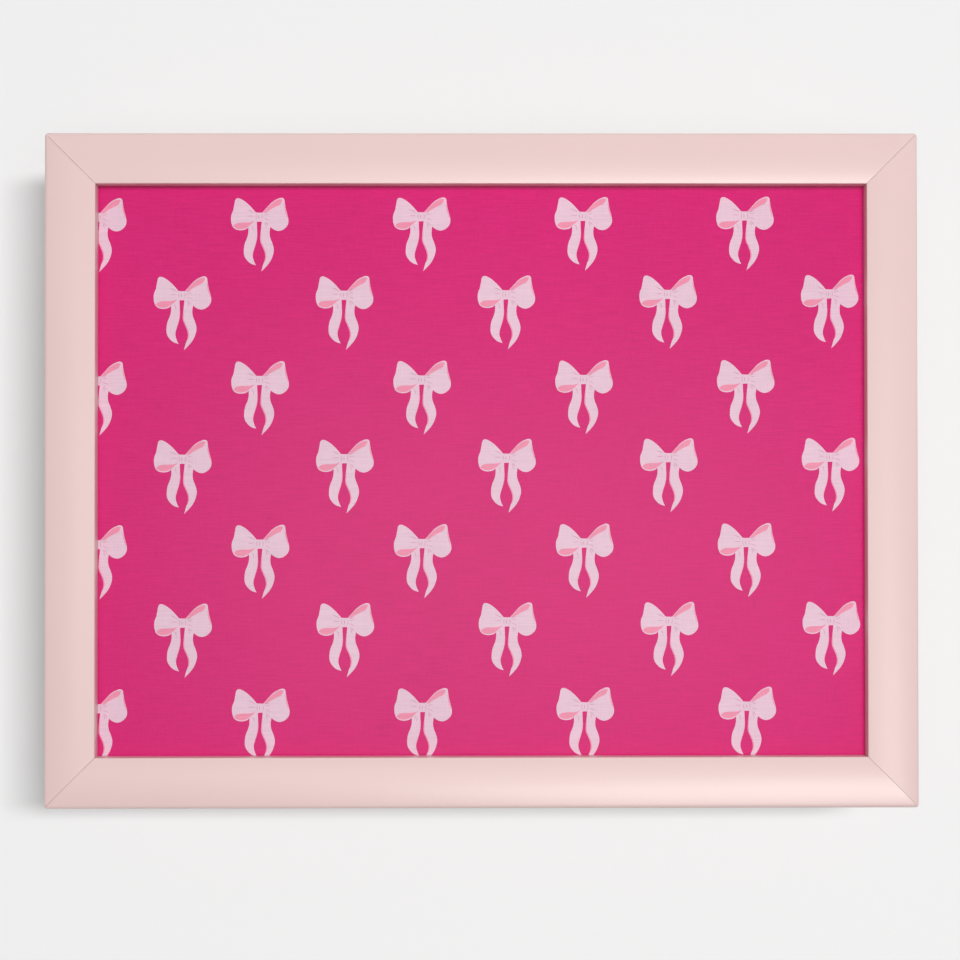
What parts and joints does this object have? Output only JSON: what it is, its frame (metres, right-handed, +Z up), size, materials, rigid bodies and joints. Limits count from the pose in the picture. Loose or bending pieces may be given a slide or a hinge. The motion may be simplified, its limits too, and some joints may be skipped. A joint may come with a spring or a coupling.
{
  "type": "lap tray with cushion",
  "caption": "Rectangular lap tray: mitred crowned frame round a recessed printed board, on a bead-filled cushion with a back zip, which the tray lifts off at hook-and-loop strips.",
  "frame": {"origin": "floor level under the middle of the cushion's base", "axes": "+Z up; +X to the user's right, along the tray's long side; -Y towards the user; the zip is at +Y"},
  "size_m": [0.44, 0.34, 0.07],
  "materials": {
    "painted_moulding": "satin",
    "fixing_steel": "satin",
    "printed_sheet": "satin",
    "fibreboard": "matte",
    "backing_paper": "matte",
    "hook_tape": "matte",
    "loop_tape": "matte",
    "cushion_fabric": "matte",
    "liner_fabric": "matte",
    "bead_filling": "matte",
    "zip_tape": "matte",
    "zip_teeth": "satin",
    "zip_metal": "satin"
  },
  "bodies": {
    "cushion": {"loop_strip_front": "loop_tape", "loop_strip_back": "loop_tape", "loop_strip_left": "loop_tape", "loop_strip_right": "loop_tape", "cover_top_panel": "cushion_fabric", "cover_base_panel": "cushion_fabric", "cover_wall": "cushion_fabric", "zip_facing_upper": "cushion_fabric", "zip_facing_lower": "cushion_fabric", "bead_liner": "liner_fabric", "bead_fill": "bead_filling", "zip_tape_upper": "zip_tape", "zip_tape_lower": "zip_tape", "zip_teeth_upper": "zip_teeth", "zip_teeth_lower": "zip_teeth", "zip_stops_closed_end": "zip_metal", "zip_stop_open_end": "zip_metal"},
    "tray": {"frame_rail_front": "painted_moulding", "frame_rail_back": "painted_moulding", "frame_rail_left": "painted_moulding", "frame_rail_right": "painted_moulding", "mitre_v_nails": "fixing_steel", "board_points": "fixing_steel", "print_sheet": "printed_sheet", "tray_board": "fibreboard", "backing_paper": "backing_paper", "hook_strip_front": "hook_tape", "hook_strip_back": "hook_tape", "hook_strip_left": "hook_tape", "hook_strip_right": "hook_tape"},
    "zip_slider": {"zip_slider": "zip_metal"},
    "zip_pull": {"zip_pull": "zip_metal"}
  },
  "joints": [
    {"name": "tray_lift_off", "type": "slide", "parent": "cushion", "child": "tray", "axis": [0, 0, 1], "range_m": [0, 0.12]},
    {"name": "zip_slide", "type": "slide", "parent": "cushion", "child": "zip_slider", "axis": [-1, 0, 0], "range_m": [0, 0.21], "deforming": ["zip_teeth_upper", "zip_teeth_lower"]},
    {"name": "zip_pull_flip", "type": "hinge", "parent": "zip_slider", "child": "zip_pull", "pos_m": [0.10731, 0.15019, 0.02675], "axis": [0, 0, -1], "range_deg": [0, 170]}
  ]
}
